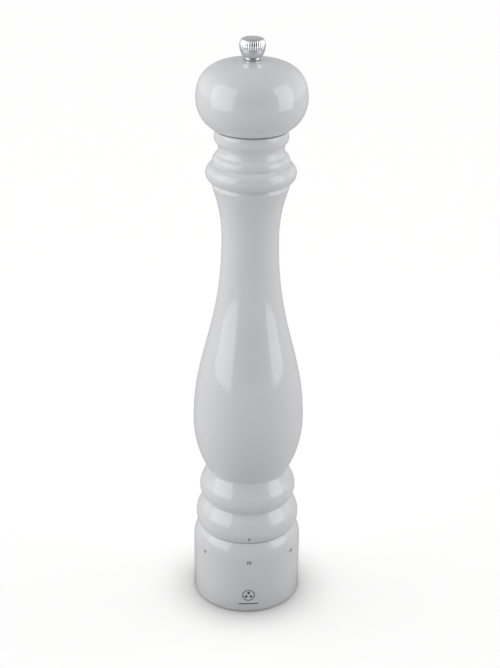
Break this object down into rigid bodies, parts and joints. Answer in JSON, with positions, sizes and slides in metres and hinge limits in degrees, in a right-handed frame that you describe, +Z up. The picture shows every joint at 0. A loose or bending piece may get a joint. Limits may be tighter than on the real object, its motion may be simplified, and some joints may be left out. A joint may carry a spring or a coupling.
{
  "type": "pepper mill",
  "caption": "Tall turned pepper mill in white gloss lacquer: ball head with a fluted chrome knob, waisted column, and a base ring that turns to set the grind.",
  "frame": {"origin": "centre of the foot's underside, on the table", "axes": "+Z up the axis of the mill; -Y is the front, where the pointer and the mark III meet"},
  "size_m": [0.076, 0.0761, 0.4],
  "materials": {
    "white_lacquer": "white gloss lacquer on turned hardwood",
    "black_plastic": "moulded, fine matt",
    "grey_plastic": "moulded, satin",
    "burr_steel": "hardened and darkened, cut teeth",
    "stainless": "brushed",
    "spring_steel": "drawn wire and stamped clips",
    "bronze": "sintered, matt",
    "brass": "turned",
    "chrome": "polished plating",
    "dark_rubber": "matt",
    "zinc_screw": "zinc plated",
    "grey_ink": "pad-printed film"
  },
  "bodies": {
    "column_body": {"column": "white_lacquer", "neck_bush": "black_plastic", "mechanism_housing": "black_plastic", "housing_screws": "zinc_screw", "ring_clip": "spring_steel", "burr_clip": "spring_steel", "upper_bridge": "stainless", "bridge_screws": "zinc_screw", "bridge_bush": "bronze", "outer_burr": "burr_steel", "detent_ball": "stainless", "detent_spring": "spring_steel", "pointer_mark": "grey_ink"},
    "selector": {"selector_ring": "white_lacquer", "adjusting_nut": "black_plastic", "nut_screws": "zinc_screw", "grind_marks": "grey_ink", "emblem": "grey_ink"},
    "carriage": {"burr_carriage": "grey_plastic", "carriage_bush": "bronze", "thrust_washer": "stainless"},
    "shaft": {"drive_shaft": "stainless", "shaft_clips": "spring_steel", "spring_washer": "stainless", "burr_spring": "spring_steel"},
    "grinding_cone": {"inner_burr": "burr_steel"},
    "head": {"head_shell": "white_lacquer", "drive_plate": "stainless", "plate_screws": "zinc_screw", "head_bush": "brass"},
    "knob_seat": {"knob_collar": "dark_rubber"},
    "knob": {"knob_shell": "chrome", "knob_insert": "brass"}
  },
  "joints": [
    {"name": "grind_select", "type": "hinge", "parent": "column_body", "child": "selector", "pos_m": [0, 0, 0.03], "axis": [0, 0, 1], "range_deg": [-159, 106]},
    {"name": "carriage_lift", "type": "slide", "parent": "column_body", "child": "carriage", "axis": [0, 0, 1], "range_m": [-0.00095, 0.00065]},
    {"name": "crank", "type": "hinge", "parent": "column_body", "child": "shaft", "pos_m": [0, 0, 0.2], "axis": [0, 0, 1], "continuous": true},
    {"name": "burr_lift", "type": "slide", "parent": "shaft", "child": "grinding_cone", "axis": [0, 0, 1], "range_m": [-0.00095, 0.00065], "deforming": ["burr_spring"]},
    {"name": "head_lift", "type": "slide", "parent": "shaft", "child": "head", "axis": [0, 0, 1], "range_m": [0, 0.09]},
    {"name": "knob_lift", "type": "slide", "parent": "head", "child": "knob_seat", "axis": [0, 0, 1], "range_m": [0, 0.0041]},
    {"name": "knob_turn", "type": "hinge", "parent": "knob_seat", "child": "knob", "pos_m": [0, 0, 0.394], "axis": [0, 0, 1], "range_deg": [0, 1800]}
  ],
  "couplings": [
    {"joint": "carriage_lift", "follows": "grind_select", "m_per_rad": 0.00032432},
    {"joint": "burr_lift", "follows": "grind_select", "m_per_rad": 0.00032432},
    {"joint": "knob_lift", "follows": "knob_turn", "m_per_rad": 0.00012732}
  ]
}
